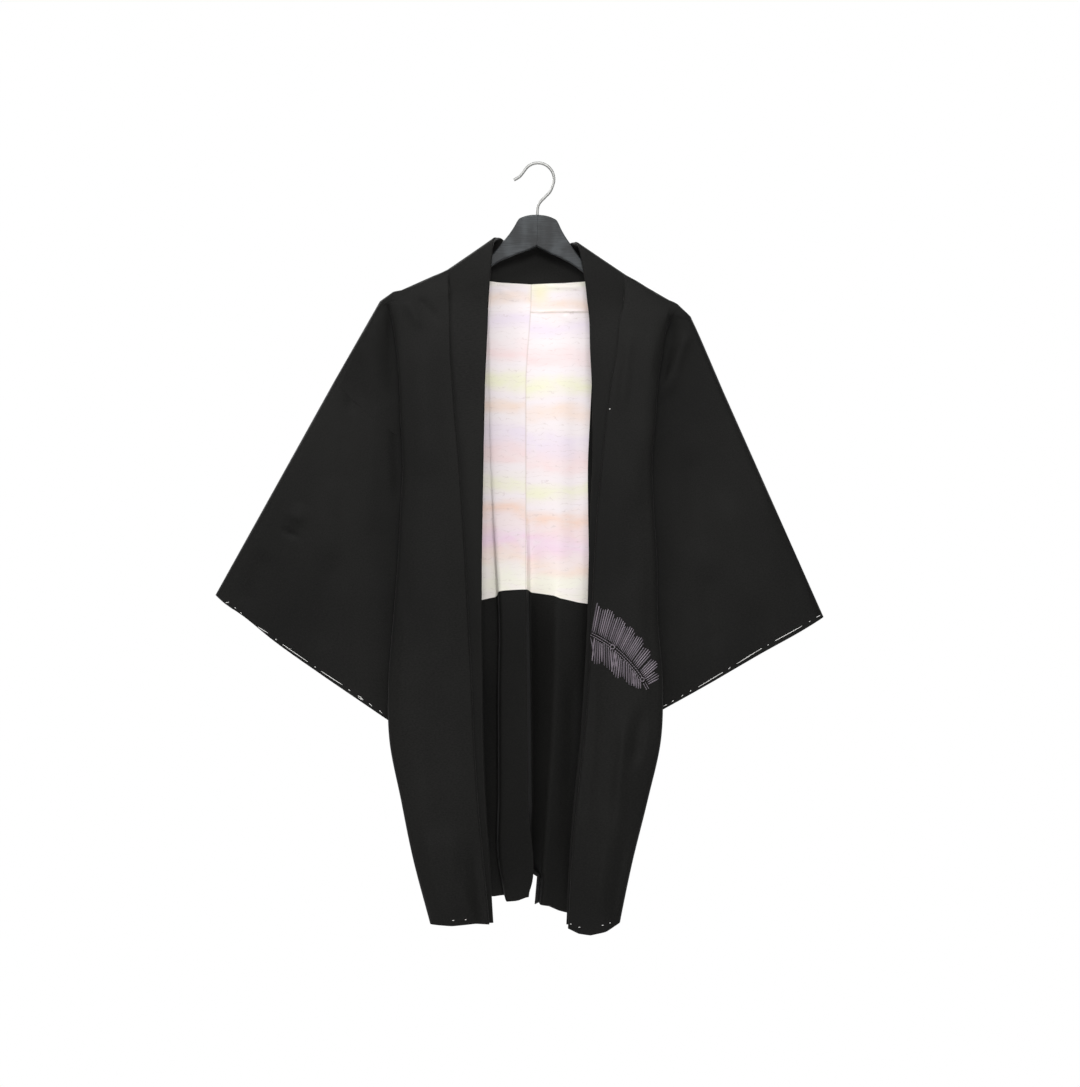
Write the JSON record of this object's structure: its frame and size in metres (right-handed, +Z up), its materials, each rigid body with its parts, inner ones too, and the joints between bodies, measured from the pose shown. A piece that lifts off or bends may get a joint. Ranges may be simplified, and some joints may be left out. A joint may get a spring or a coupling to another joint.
{
  "type": "haori jacket on hanger",
  "caption": "Open-front haori jacket with square hanging sleeves and a folded collar, hung on a flat wooden hanger with a wire hook.",
  "frame": {"origin": "inner top of the hanger's hook, where a rail carries it", "axes": "+Z up, -Y towards the open front of the jacket, +X towards the wearer's left sleeve"},
  "size_m": [0.7924, 0.1051, 0.9871],
  "materials": {
    "black_silk": "soft matte crepe",
    "lining_silk": "smooth printed silk, soft sheen",
    "charcoal_wood": "satin stain",
    "hook_steel": "bright plated wire"
  },
  "bodies": {
    "root": {"front_right": "black_silk", "front_left": "black_silk", "back_right": "black_silk", "back_left": "black_silk", "sleeve_right": "black_silk", "sleeve_left": "black_silk", "gusset_right": "black_silk", "gusset_left": "black_silk", "collar": "black_silk", "lining_right": "lining_silk", "lining_left": "lining_silk", "hanger_body": "charcoal_wood", "hanger_hook": "hook_steel"}
  },
  "joints": []
}
